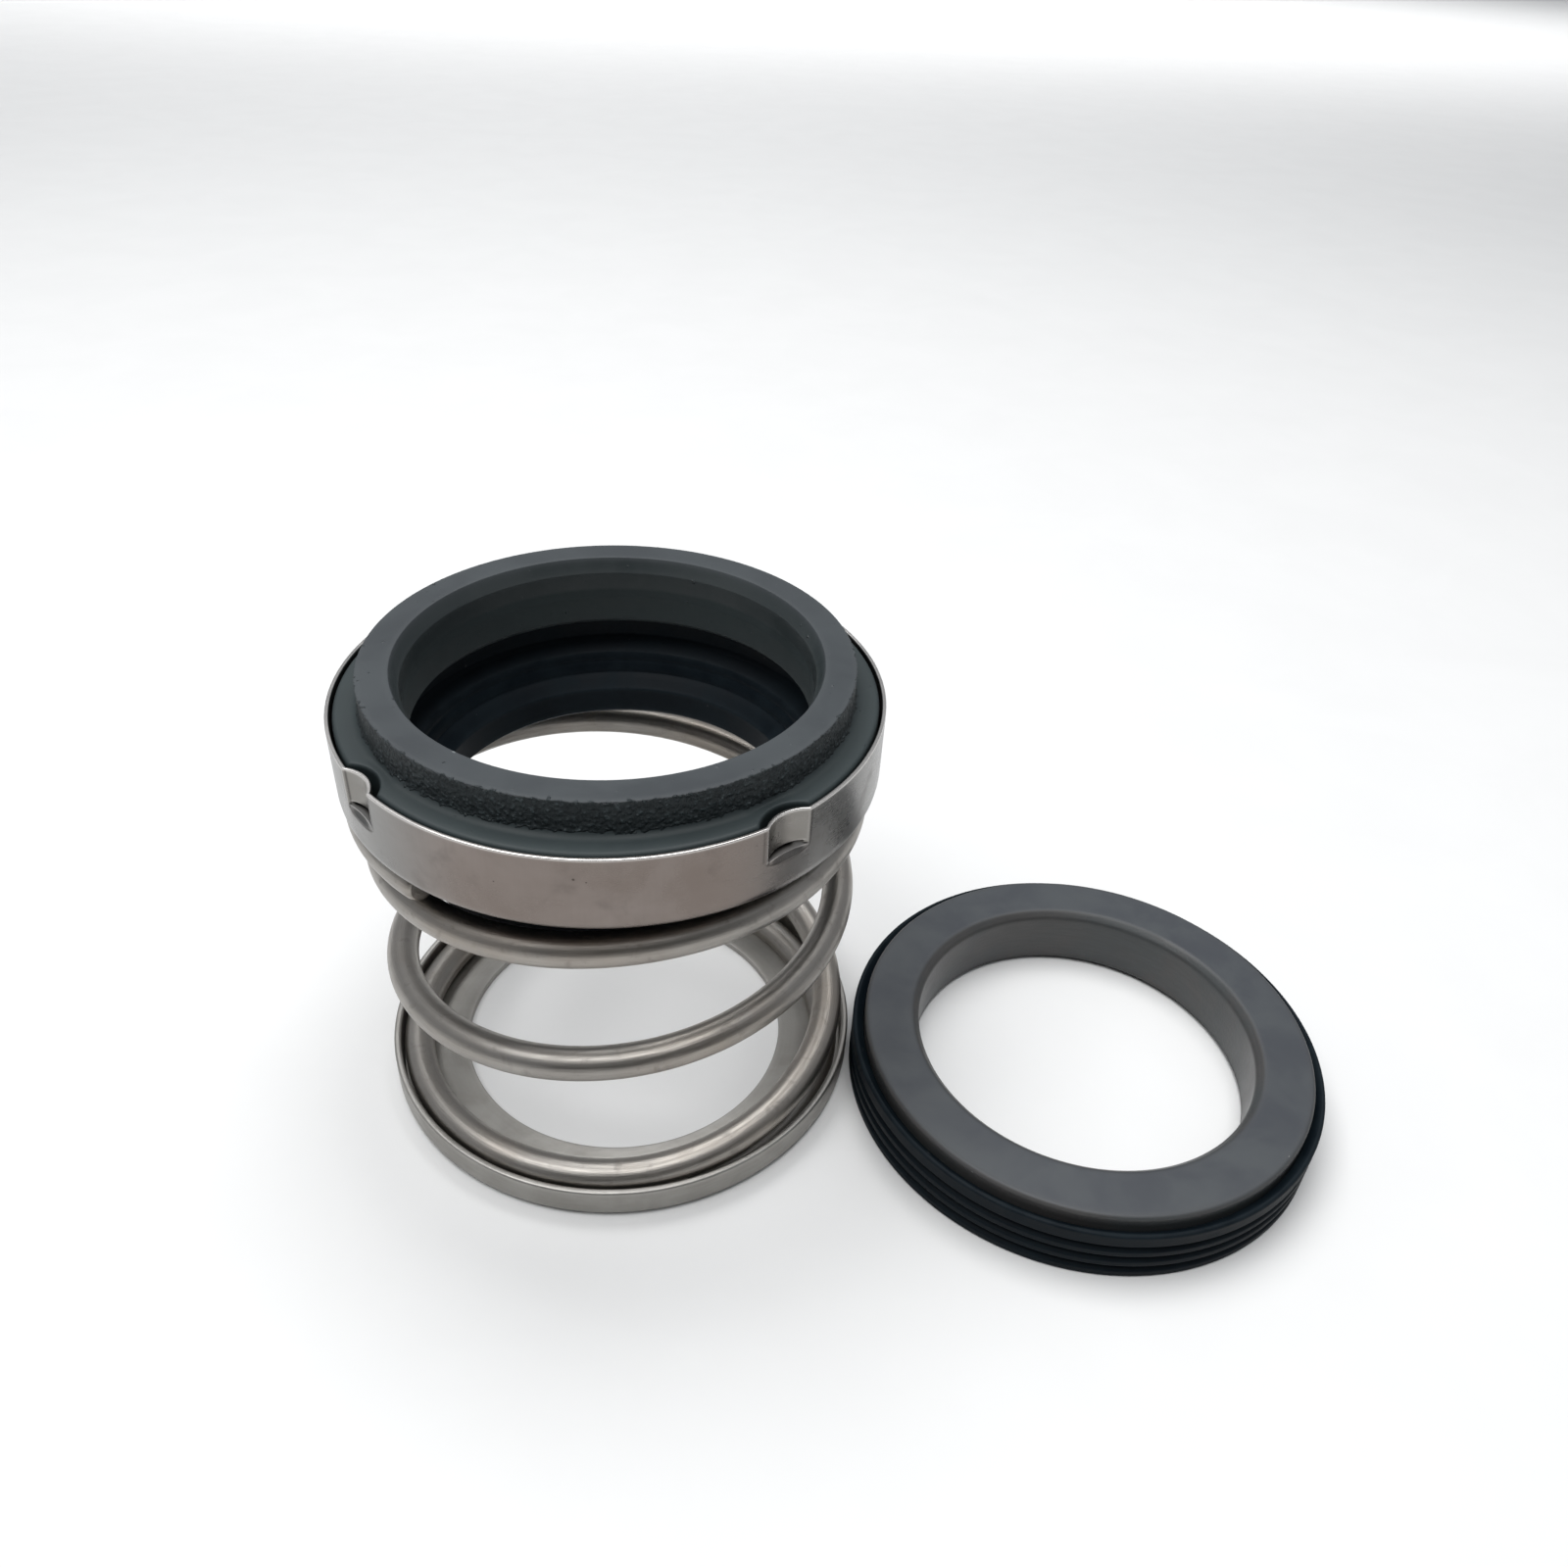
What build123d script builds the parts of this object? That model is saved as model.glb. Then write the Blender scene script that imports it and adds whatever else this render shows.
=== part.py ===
from build123d import *
from itertools import accumulate
from math import asin, cos, degrees, radians, sin
import os

# Single-spring rubber bellows mechanical seal for a 38 mm shaft: the spring-loaded head stands on its
# spring seat, and the stationary seat lies beside it.
# Frame: millimetres, +Z up along the head's axis, origin on that axis in the plane the parts stand on.
# Angles about the axis count anticlockwise from the front (-Y), so 90 degrees is +X.

# --- shaft -------------------------------------------------------------------------------------------------
shaft_radius = 19.0

# --- primary ring ------------------------------------------------------------------------------------------
ring_bore_clearance = 1.8       # shaft to bore, radial
nose_wall = 4.2                 # bore to the outside of the nose
shoulder_width = 2.6            # nose to the outside of the shoulder
ring_thickness = 8.0
nose_height = 3.7               # lapped face above the shoulder
mouth_taper_width = 0.8         # steep countersink at the face
mouth_taper_height = 1.6
throat_taper_width = 0.2        # shallow taper under the countersink
throat_taper_height = 3.0
ring_back_chamfer = 0.5
face_edge_chamfer = 0.15
nose_root_radius = 0.3
shoulder_edge_radius = 0.5
notch_radial_clearance = 0.8    # bottom of the notch to the lug
notch_side_clearance = 0.6      # each side of the lug

# --- retainer can ------------------------------------------------------------------------------------------
can_clearance = 0.3             # ring shoulder to the inside of the can
can_sheet = 0.4
can_corner_radius = 0.9         # inside the bend
can_rim_radius = 0.12
can_hole_clearance = 0.6        # bellows tail to the hole in the flange
lug_count = 4
lug_angle = 33.0                # first lug
lug_width = 5.0
lug_depth = 1.0
lug_height = 3.7
lug_slit = 0.3                  # sheared slit under each lug

# --- bellows -----------------------------------------------------------------------------------------------
rubber_clearance = 0.1          # rubber to the metal around it
bellows_flange_width = 4.5
bellows_flange_height = 3.9
bellows_tail_wall = 4.0
bellows_tail_length = 7.2       # below the underside of the can
grip_length = 2.9               # cylindrical band that grips the shaft
grip_lead_in = 0.5
tail_edge_chamfer = 0.8
neck_relief = 1.6               # neck radius over the shaft radius, above the grip
neck_rise = 1.5                 # from the grip to the neck
throat_relief = 2.4             # where the neck meets the can's underside
ledge_relief = 3.86             # edge of the ledge under the ring
ledge_rise = 0.95               # from the can's underside to the ledge

# --- spring ------------------------------------------------------------------------------------------------
wire_diameter = 3.5
spring_height = 41.4            # free, over the ground ends
spring_tail_clearance = 0.3     # bellows tail to the coils
closed_coil_gap = 0.05
bottom_tip_thickness = 1.0      # what grinding leaves of the wire at its bottom end
top_tip_thickness = 2.95
spring_start_angle = 14.0
spring_end_angle = 1396.0
lift_off_angle = 343.0          # the coils leave the closed bottom turn here
lift_off_span = 54.0
landing_angle = 1067.0          # and close up again here
landing_span = 41.0
pitch_slack = 0.22              # share by which the pitch falls in each turn upwards
top_flare = 1.2                 # the top coil is this much wider in radius
top_flare_span = 430.0
bottom_draw_in = 0.15           # and the bottom coil this much narrower
bottom_draw_in_span = 360.0
path_step = 14.0                # angle between the points of the wire's centre line

# --- spring seat -------------------------------------------------------------------------------------------
spring_seat_clearance = 0.45    # bottom coil to the inside of the rim
spring_seat_sheet = 0.8
spring_seat_rim = 3.9           # overall height
spring_seat_bend_radius = 0.2   # inside the bend
spring_seat_edge_radius = 0.25
spring_seat_hole_clearance = 0.35

# --- stationary seat ring ----------------------------------------------------------------------------------
seat_bore_clearance = 1.1
seat_wall = 6.6
seat_height = 6.7
seat_neck_wall = 4.2            # bore to the outside of the neck that passes through the boot's floor
seat_neck_recess = 0.3          # end of the neck above the boot's underside
seat_mouth_chamfer = 0.8
seat_face_chamfer = 0.3
seat_back_chamfer = 0.4

# --- seat boot ---------------------------------------------------------------------------------------------
boot_ring_clearance = 0.05      # ring to the rubber wall around it
boot_wall = 1.35
boot_floor = 1.6                # rubber under the seat ring's step
boot_neck_clearance = 0.05      # ring's neck to the hole in the floor
boot_height = 7.0
boot_top_land = 0.45            # from the outside to where the lip slopes down
boot_top_dip = 0.8              # the lip slopes down this far to the ring
boot_edge_chamfer = 0.3
boot_groove_depth = 0.6
boot_crest_height = 0.6         # flat top of each rib
boot_groove_height = 1.1        # between two flat tops
boot_rib_count = 3

# --- how the two units stand -------------------------------------------------------------------------------
loose_gap = 0.5                 # spring seat to the boot beside it
seat_direction = -13.05         # from +X, about the head's axis

edge_reach = 0.01               # how near an edge must lie to count as at a place

# --- radii that follow -------------------------------------------------------------------------------------
wire_radius = wire_diameter / 2
ring_bore = shaft_radius + ring_bore_clearance
nose_radius = ring_bore + nose_wall
shoulder_radius = nose_radius + shoulder_width
can_inner = shoulder_radius + can_clearance
can_outer = can_inner + can_sheet
tail_radius = shaft_radius + bellows_tail_wall
can_hole = tail_radius + can_hole_clearance
bellows_outer = can_inner - rubber_clearance
lug_inner = can_inner - lug_depth
coil_radius = tail_radius + spring_tail_clearance + wire_radius
bottom_coil_radius = coil_radius - bottom_draw_in
spring_seat_inner = bottom_coil_radius + wire_radius + spring_seat_clearance
spring_seat_outer = spring_seat_inner + spring_seat_sheet
spring_seat_hole = shaft_radius + spring_seat_hole_clearance
seat_bore = shaft_radius + seat_bore_clearance
seat_outer = seat_bore + seat_wall
boot_inner = seat_outer + boot_ring_clearance
boot_outer = boot_inner + boot_wall
seat_neck = seat_bore + seat_neck_wall
boot_hole = seat_neck + boot_neck_clearance

# --- heights that follow -----------------------------------------------------------------------------------
spring_bottom = spring_seat_sheet
can_bottom = spring_bottom + spring_height
bellows_bottom = can_bottom + can_sheet
ring_back = bellows_bottom + bellows_flange_height
ring_face = ring_back + ring_thickness
shoulder_top = ring_face - nose_height
tail_end = can_bottom - bellows_tail_length
seat_back = boot_floor
seat_face = seat_back + seat_height


def turned(outline):
    """A closed outline of (radius, height) corners, turned about the head's axis."""
    face = make_face(Polyline([(radius, 0, height) for radius, height in outline], close=True))
    return revolve(face, Axis.Z)


def corners_at(solid, radius, height):
    """The circular edges of a turned solid at one radius and height."""
    def is_there(edge):
        point = edge @ 0
        on_radius = abs(Vector(point.X, point.Y).length - radius) < edge_reach
        return on_radius and abs(point.Z - height) < edge_reach

    return solid.edges().filter_by(is_there)


def about_axis(radius, angle, height=0.0):
    """The point at a radius and height, with its angle from the front."""
    turn = radians(angle)
    return (radius * sin(turn), -radius * cos(turn), height)


def lug_angles():
    """Where the lugs and notches stand, evenly round the head."""
    return [lug_angle + 360 * index / lug_count for index in range(lug_count)]


def primary_ring():
    """Seal ring: nose with the lapped face, shoulder, stepped bore and a notch for each lug."""
    throat = ring_bore + throat_taper_width
    throat_top = ring_face - mouth_taper_height
    ring = turned([
        (ring_bore + ring_back_chamfer, ring_back),
        (shoulder_radius, ring_back),
        (shoulder_radius, shoulder_top),
        (nose_radius, shoulder_top),
        (nose_radius, ring_face),
        (throat + mouth_taper_width, ring_face),
        (throat, throat_top),
        (ring_bore, throat_top - throat_taper_height),
        (ring_bore, ring_back + ring_back_chamfer),
    ])
    ring = chamfer(corners_at(ring, shoulder_radius, ring_back), ring_back_chamfer)
    ring = chamfer(corners_at(ring, nose_radius, ring_face), face_edge_chamfer)
    ring = fillet(corners_at(ring, shoulder_radius, shoulder_top), shoulder_edge_radius)
    ring = fillet(corners_at(ring, nose_radius, shoulder_top), nose_root_radius)

    notch_bottom = lug_inner - notch_radial_clearance
    notch_depth = shoulder_radius - notch_bottom
    notch_half_width = lug_width / 2 + notch_side_clearance
    cutter_radius = (notch_half_width**2 + notch_depth**2) / (2 * notch_depth)
    for angle in lug_angles():
        centre = about_axis(notch_bottom + cutter_radius, angle, ring_back)
        ring -= Pos(centre) * extrude(Circle(cutter_radius), ring_thickness)
    return ring


def lug(angle):
    """A length of the can's wall pressed inwards to an arc, and the window it leaves in the plain wall."""
    side = degrees(asin(lug_width / 2 / can_outer))

    def pressed_line(radius):
        return ThreePointArc(
            about_axis(radius, angle - side),
            about_axis(radius - lug_depth, angle),
            about_axis(radius, angle + side),
        )

    def wall_end(end_angle):
        return Line(about_axis(can_outer, end_angle), about_axis(can_inner, end_angle))

    plan = make_face([
        pressed_line(can_outer),
        wall_end(angle + side),
        pressed_line(can_inner),
        wall_end(angle - side),
    ])
    lug_bottom = shoulder_top - lug_height
    panel = Pos(0, 0, lug_bottom) * extrude(plan, lug_height)

    window_plan = make_face(Polyline([
        about_axis(can_inner - can_sheet, angle - side),
        about_axis(can_outer + can_sheet, angle - side),
        about_axis(can_outer + can_sheet, angle + side),
        about_axis(can_inner - can_sheet, angle + side),
    ], close=True))
    window = Pos(0, 0, lug_bottom - lug_slit) * extrude(window_plan, lug_height + lug_slit + can_sheet)
    return panel, window


def retainer():
    """Pressed can: wall, bend, inward flange under the bellows, and the lugs that drive the ring."""
    can = turned([
        (can_hole, can_bottom),
        (can_outer, can_bottom),
        (can_outer, shoulder_top),
        (can_inner, shoulder_top),
        (can_inner, bellows_bottom),
        (can_hole, bellows_bottom),
    ])
    can = fillet(corners_at(can, can_outer, can_bottom), can_corner_radius + can_sheet)
    can = fillet(corners_at(can, can_inner, bellows_bottom), can_corner_radius)
    for angle in lug_angles():
        panel, window = lug(angle)
        can = can - window + panel
    rim = can.faces().sort_by(Axis.Z)[-1]
    return fillet(rim.edges(), can_rim_radius)


def bellows():
    """Rubber bellows: flange clamped between can and ring, thin throat, and the tail with its grip band."""
    grip_bottom = tail_end + grip_lead_in
    grip_top = grip_bottom + grip_length
    ledge = can_bottom + ledge_rise
    flange_inner = bellows_outer - bellows_flange_width
    bend_clear = can_corner_radius
    rubber = turned([
        (tail_radius - tail_edge_chamfer, tail_end),
        (tail_radius, tail_end + tail_edge_chamfer),
        (tail_radius, bellows_bottom),
        (bellows_outer - bend_clear, bellows_bottom),
        (bellows_outer, bellows_bottom + bend_clear),
        (bellows_outer, ring_back),
        (flange_inner, ring_back),
        (flange_inner, ledge + flange_inner - shaft_radius - ledge_relief),
        (shaft_radius + ledge_relief, ledge),
        (shaft_radius + throat_relief, can_bottom),
        (shaft_radius + neck_relief, grip_top + neck_rise),
        (shaft_radius, grip_top),
        (shaft_radius, grip_bottom),
        (shaft_radius + grip_lead_in, tail_end),
    ])
    return rubber


def smooth_step(value):
    """0 below 0, 1 above 1, and an even S-curve between."""
    inside = min(1.0, max(0.0, value))
    return inside * inside * (3 - 2 * inside)


def coil_opening(angle):
    """How far the coils stand open at an angle: 0 where they are closed, about 1 in the middle."""
    opens = smooth_step((angle - lift_off_angle) / lift_off_span)
    closes = 1 - smooth_step((angle - landing_angle) / landing_span)
    middle = (lift_off_angle + landing_angle + landing_span) / 2
    return opens * closes * (1 + pitch_slack * (middle - angle) / 360)


def wire_points():
    """Points along the wire's centre line, from its bottom end to its top end."""
    start_height = spring_bottom + bottom_tip_thickness - wire_radius
    end_height = can_bottom - top_tip_thickness + wire_radius
    closed_pitch = wire_diameter + closed_coil_gap
    steps = round((spring_end_angle - spring_start_angle) / path_step)
    sweep_angle = (spring_end_angle - spring_start_angle) / steps
    closed_climb = closed_pitch * (spring_end_angle - spring_start_angle) / 360
    open_climb = end_height - start_height - closed_climb

    angles = [spring_start_angle + sweep_angle * step for step in range(steps + 1)]
    openings = [coil_opening(angle - sweep_angle / 2) for angle in angles]
    openings[0] = 0.0
    opened = list(accumulate(openings))

    points = []
    for angle, share in zip(angles, opened):
        closed_rise = closed_pitch * (angle - spring_start_angle) / 360
        height = start_height + closed_rise + open_climb * share / opened[-1]
        top_widening = top_flare * smooth_step((angle - spring_end_angle + top_flare_span) / top_flare_span)
        bottom_narrowing = bottom_draw_in * smooth_step(
            (spring_start_angle + bottom_draw_in_span - angle) / bottom_draw_in_span
        )
        points.append(about_axis(coil_radius + top_widening - bottom_narrowing, angle, height))
    return points


def spring():
    """Right-hand coil spring of round wire, with closed ends ground flat."""
    centre_line = Spline(wire_points())
    start = Plane(origin=centre_line @ 0, z_dir=centre_line % 0)
    wire = sweep(start * Circle(wire_radius), path=centre_line, is_frenet=True)
    reach = 4 * spring_seat_outer
    ground = Pos(0, 0, spring_bottom + spring_height / 2) * Box(reach, reach, spring_height)
    return wire & ground


def spring_seat():
    """Pressed dished ring: rim round the bottom coil and a flat flange with the shaft hole."""
    dish = turned([
        (spring_seat_hole, 0),
        (spring_seat_outer, 0),
        (spring_seat_outer, spring_seat_rim),
        (spring_seat_inner, spring_seat_rim),
        (spring_seat_inner, spring_seat_sheet),
        (spring_seat_hole, spring_seat_sheet),
    ])
    dish = fillet(corners_at(dish, spring_seat_outer, 0), spring_seat_bend_radius + spring_seat_sheet)
    dish = fillet(corners_at(dish, spring_seat_inner, spring_seat_sheet), spring_seat_bend_radius)
    rim = dish.faces().sort_by(Axis.Z)[-1]
    return fillet(rim.edges(), spring_seat_edge_radius)


def beside_head(solid):
    """A piece of the stationary seat, moved to where the seat lies next to the head."""
    distance = spring_seat_outer + loose_gap + boot_outer
    turn = radians(seat_direction)
    return Pos(distance * cos(turn), distance * sin(turn), 0) * solid


def seat_ring():
    """Stationary ring: lapped mating face on top, and a neck down through the floor of its boot."""
    ring = turned([
        (seat_bore + seat_back_chamfer, seat_neck_recess),
        (seat_neck - seat_back_chamfer, seat_neck_recess),
        (seat_neck, seat_neck_recess + seat_back_chamfer),
        (seat_neck, seat_back),
        (seat_outer - seat_back_chamfer, seat_back),
        (seat_outer, seat_back + seat_back_chamfer),
        (seat_outer, seat_face - seat_face_chamfer),
        (seat_outer - seat_face_chamfer, seat_face),
        (seat_bore + seat_mouth_chamfer, seat_face),
        (seat_bore, seat_face - seat_mouth_chamfer),
        (seat_bore, seat_neck_recess + seat_back_chamfer),
    ])
    return beside_head(ring)


def boot_ribs():
    """Outer side of the boot from the bottom up: flat-topped ribs of one radius, with V grooves between."""
    corners = [(boot_outer - boot_edge_chamfer, 0), (boot_outer, boot_edge_chamfer)]
    height = boot_edge_chamfer
    for _ in range(boot_rib_count):
        height += boot_crest_height
        corners.append((boot_outer, height))
        corners.append((boot_outer - boot_groove_depth, height + boot_groove_height / 2))
        height += boot_groove_height
        corners.append((boot_outer, height))
    return corners


def seat_boot():
    """Rubber cup round the stationary ring, holding it by its step, with ribs that seal in the housing."""
    lip = [
        (boot_outer, boot_height - boot_edge_chamfer),
        (boot_outer - boot_edge_chamfer, boot_height),
        (boot_outer - boot_top_land, boot_height),
        (boot_inner, boot_height - boot_top_dip),
    ]
    pocket = [
        (boot_inner, boot_floor),
        (boot_hole, boot_floor),
        (boot_hole, 0),
    ]
    return beside_head(turned(boot_ribs() + lip + pocket))


os.makedirs("parts", exist_ok=True)
for piece in (primary_ring, retainer, bellows, spring, spring_seat, seat_ring, seat_boot):
    export_step(piece(), f"parts/{piece.__name__}.step")
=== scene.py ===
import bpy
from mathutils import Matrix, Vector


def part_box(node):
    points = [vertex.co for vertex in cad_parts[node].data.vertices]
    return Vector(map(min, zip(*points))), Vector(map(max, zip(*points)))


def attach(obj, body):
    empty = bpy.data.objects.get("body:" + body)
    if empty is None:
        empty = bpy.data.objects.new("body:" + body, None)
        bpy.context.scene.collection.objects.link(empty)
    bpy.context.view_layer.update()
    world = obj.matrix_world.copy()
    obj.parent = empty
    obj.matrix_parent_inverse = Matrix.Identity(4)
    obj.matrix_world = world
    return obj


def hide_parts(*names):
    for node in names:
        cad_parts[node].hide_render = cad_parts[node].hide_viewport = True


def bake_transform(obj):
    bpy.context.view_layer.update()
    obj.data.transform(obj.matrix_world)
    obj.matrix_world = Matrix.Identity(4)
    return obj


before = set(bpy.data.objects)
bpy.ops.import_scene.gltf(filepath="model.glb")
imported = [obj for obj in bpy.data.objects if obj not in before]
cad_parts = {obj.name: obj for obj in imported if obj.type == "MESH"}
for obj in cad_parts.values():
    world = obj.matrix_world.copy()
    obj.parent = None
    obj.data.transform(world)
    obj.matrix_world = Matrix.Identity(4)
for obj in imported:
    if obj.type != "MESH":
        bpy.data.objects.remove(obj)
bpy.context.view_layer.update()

from types import SimpleNamespace

import bpy
import numpy as np
from mathutils import Matrix, Vector

# A rubber bellows mechanical seal: the spring-loaded head on its spring seat, and the stationary seat
# beside it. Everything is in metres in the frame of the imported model. Angles about an upright axis
# count anticlockwise from the front (-Y). Those along the wire are in degrees, all others in radians.

MM = 0.001

# --- details that the solids leave plain -------------------------------------------------------------------
ring_face_rounding = 0.12 * MM
ring_edge_rounding = 0.45 * MM
nose_height = 3.7 * MM
nose_root_radius = 0.9 * MM
nose_radius = 25.0 * MM
mouth_radius = 21.8 * MM
throat_radius = 21.0 * MM
mouth_depth = 1.6 * MM
throat_depth = 4.6 * MM
ring_back_chamfer = 0.5 * MM
notch_width = 6.2 * MM
notch_bottom = 26.1 * MM
# The coarse band round the nose: how far it comes in over the edge, how far above the shoulder it ends,
# and how long it fades at each.
coarse_over_edge, coarse_edge_fade = 0.3 * MM, 0.7 * MM
coarse_above_root, coarse_root_fade = 0.15 * MM, 0.6 * MM
coarse_reach_in = 0.5 * MM

steel_sheet = 0.4 * MM
can_bend_radius = 1.3 * MM
rim_rounding = 0.12 * MM
lug_angles = np.radians([33.0, 123.0, 213.0, 303.0])
lug_width = 5.0 * MM
lug_depth = 1.0 * MM
lug_height = 3.7 * MM
slit_height = 0.3 * MM
lip_height = 0.75 * MM
lip_depth = 0.45 * MM
slit_set_back = 0.55  # of the sheet's thickness
# Where parts of a lug end, in shares of its width from its middle.
slit_end, torn_end, panel_end, lip_end = 0.36, 0.42, 0.47, 0.54
slit_narrows = 0.16
# Lines beside a lug: place in shares of its width from its middle, and half the line's width. The crease
# lines are painted shade, the ridge lines painted highlights.
lug_creases = ((-0.45, 0.15 * MM), (0.53, 0.2 * MM), (-0.59, 0.22 * MM))
lug_ridges = ((-0.51, 0.12 * MM), (0.48, 0.12 * MM))
# The can's front carries a painted warm reflection: its middle, half width and fade, as angles round the
# axis.
reflection_middle, reflection_half, reflection_fade = np.radians([-5.0, 22.0, 25.0])

tail_clearance = 0.6 * MM
tail_edge_chamfer = 0.8 * MM
flange_edge_chamfer = 0.7 * MM
flange_hole_radius = 23.3 * MM
ledge_radius = 22.86 * MM
ledge_rise = 0.95 * MM
rubber_throat_radius = 21.4 * MM
rubber_neck_radius = 20.6 * MM
rubber_neck_drop = 2.3 * MM
grip_top_rise = 3.4 * MM
grip_lead_in = 0.5 * MM
mould_groove_drops = np.array([1.0, 2.4]) * MM
mould_groove_depth = 0.12 * MM
mould_groove_width = 0.18 * MM
grooves_within_radius = 22.3 * MM

wire_radius = 1.75 * MM
coil_radius = 25.05 * MM
wire_end_bevel = 0.25 * MM
closed_pitch = 3.55 * MM
bottom_tip = 1.0 * MM
top_tip = 2.95 * MM
coil_start, coil_end = 14.0, 1396.0
lift_off, lift_off_span = 343.0, 54.0
landing, landing_span = 1067.0, 41.0
pitch_slack = 0.22
top_flare, top_flare_span = 1.2 * MM, 430.0
bottom_draw_in, bottom_draw_in_span = 0.15 * MM, 360.0

seat_sheet = 0.8 * MM

neck_length = 1.3 * MM
rubber_fit = 0.05 * MM
seat_mouth_chamfer = 0.8 * MM
seat_face_chamfer = 0.3 * MM
seat_back_chamfer = 0.4 * MM
lapped_drop, lapped_fade = 0.12 * MM, 0.1 * MM

rib_groove_heights = np.array([1.45, 3.15, 4.85]) * MM
rib_groove_half = 0.55 * MM
rib_groove_depth = 0.6 * MM
boot_lip_land = 0.45 * MM
boot_lip_dip = 0.8 * MM

edge_reach = 0.35 * MM
pressed_softness = 0.05 * MM


# --- surfaces ----------------------------------------------------------------------------------------------

def turned_size(node):
    """Centre, inner and outer radius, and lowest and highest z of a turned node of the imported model."""
    low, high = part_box(node)
    centre = (low + high) / 2
    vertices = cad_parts[node].data.vertices
    points = np.empty(len(vertices) * 3, np.float32)
    vertices.foreach_get("co", points)
    points = points.reshape(-1, 3)
    radius = np.hypot(points[:, 0] - centre.x, points[:, 1] - centre.y)
    return SimpleNamespace(
        x=centre.x, y=centre.y, inner=radius.min(), outer=radius.max(), low=low.z, high=high.z
    )


def smooth_step(value):
    """0 below 0, 1 above 1, and 3t^2 - 2t^3 between."""
    t = np.clip(value, 0, 1)
    return t * t * (3 - 2 * t)


def fade_out(value, start, width):
    """1 up to the start, 0 from start + width on, and smooth between."""
    return 1 - smooth_step((value - start) / width)


def soft_positive(value, softness):
    """The value where it is positive and 0 where it is negative, with the corner rounded."""
    return (value + np.hypot(value, softness)) / 2


def rounded_outline(corners, longest, arc_points=7):
    """Closed outline of (radius, height, edge) points, anticlockwise.

    Each corner (radius, height, rounding) becomes an arc tangent to both its sides: the arc's centre lies on
    the corner's bisector at rounding / sin(half the corner's angle). Straight runs are divided evenly. Edge
    is exp(-(d / edge_reach)^2), with d the distance to the nearest outward corner.
    """
    corners = np.array(corners, float)
    place, rounding = corners[:, :2], corners[:, 2:]
    back = np.roll(place, 1, axis=0) - place
    ahead = np.roll(place, -1, axis=0) - place
    back /= np.linalg.norm(back, axis=1, keepdims=True)
    ahead /= np.linalg.norm(ahead, axis=1, keepdims=True)
    outward = place[back[:, 1] * ahead[:, 0] - back[:, 0] * ahead[:, 1] > 0]
    half = np.arccos(np.clip((back * ahead).sum(1, keepdims=True), -1, 1)) / 2
    bisector = back + ahead
    bisector /= np.linalg.norm(bisector, axis=1, keepdims=True)
    centre = place + bisector * rounding / np.sin(half)
    trim = rounding / np.tan(half)
    first = place + back * trim - centre
    last = place + ahead * trim - centre
    sweep = np.pi - 2 * half
    share = np.linspace(0, 1, arc_points)
    weight_first = np.sin((1 - share) * sweep) / np.sin(sweep)
    weight_last = np.sin(share * sweep) / np.sin(sweep)
    arcs = centre[:, None] + weight_first[..., None] * first[:, None] + weight_last[..., None] * last[:, None]
    loop = divided(arcs.reshape(-1, 2), longest)
    away = np.linalg.norm(loop[:, None] - outward, axis=-1).min(1)
    return np.column_stack([loop, np.exp(-((away / edge_reach) ** 2))])


def divided(loop, longest):
    """The closed loop with every side cut into equal parts no longer than longest."""
    step = np.roll(loop, -1, axis=0) - loop
    parts = np.maximum(1, np.ceil(np.linalg.norm(step, axis=1) / longest)).astype(int)
    side = np.repeat(np.arange(len(loop)), parts)
    part = np.arange(parts.sum()) - np.repeat(np.cumsum(parts) - parts, parts)
    return loop[side] + step[side] * (part / parts[side])[:, None]


def with_heights(loop, heights):
    """The closed loop with a point added wherever an upright side passes one of the heights."""
    step = np.roll(loop, -1, axis=0) - loop
    upright = np.abs(step[:, 0]) < 1e-7
    share = (np.asarray(heights)[:, None] - loop[:, 1]) / np.where(upright, step[:, 1], np.inf)
    found = np.argwhere((share > 0.02) & (share < 0.98) & upright)
    where = found[:, 1] + share[found[:, 0], found[:, 1]]
    extra = loop[found[:, 1]] + step[found[:, 1]] * (where - found[:, 1])[:, None]
    order = np.argsort(np.concatenate([np.arange(len(loop)), where]))
    return np.concatenate([loop, extra])[order]


def surface(name, points, body, node, material, close_rows, caps=False, shares=None):
    """A mesh over a grid of points [row, column]: columns always join up, rows do if close_rows says so.

    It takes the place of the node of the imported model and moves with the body. Shares are named grids of
    values between 0 and 1 that the finish reads as attributes.
    """
    rows, columns = points.shape[:2]
    index = np.arange(rows * columns).reshape(rows, columns)
    index = np.concatenate([index, index[:, :1]], axis=1)
    if close_rows:
        index = np.concatenate([index, index[:1]], axis=0)
    quads = np.stack([index[:-1, :-1], index[1:, :-1], index[1:, 1:], index[:-1, 1:]], axis=-1)
    faces = quads.reshape(-1, 4).tolist()
    if caps:
        faces.append(index[0, :-1].tolist())
        faces.append(index[-1, -2::-1].tolist())
    mesh = bpy.data.meshes.new(name)
    mesh.from_pydata(points.reshape(-1, 3).tolist(), [], faces)
    smooth = np.ones(len(faces), bool)
    if caps:
        smooth[-2:] = False
    mesh.polygons.foreach_set("use_smooth", smooth)
    mesh.materials.append(material)
    for label, values in (shares or {}).items():
        spread = np.broadcast_to(values, points.shape[:2]).astype(np.float32)
        mesh.attributes.new(label, "FLOAT", "POINT").data.foreach_set("value", spread.ravel())
    mesh.update()
    piece = bpy.data.objects.new(name, mesh)
    bpy.context.scene.collection.objects.link(piece)
    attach(piece, body)
    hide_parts(node)
    return piece


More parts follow.
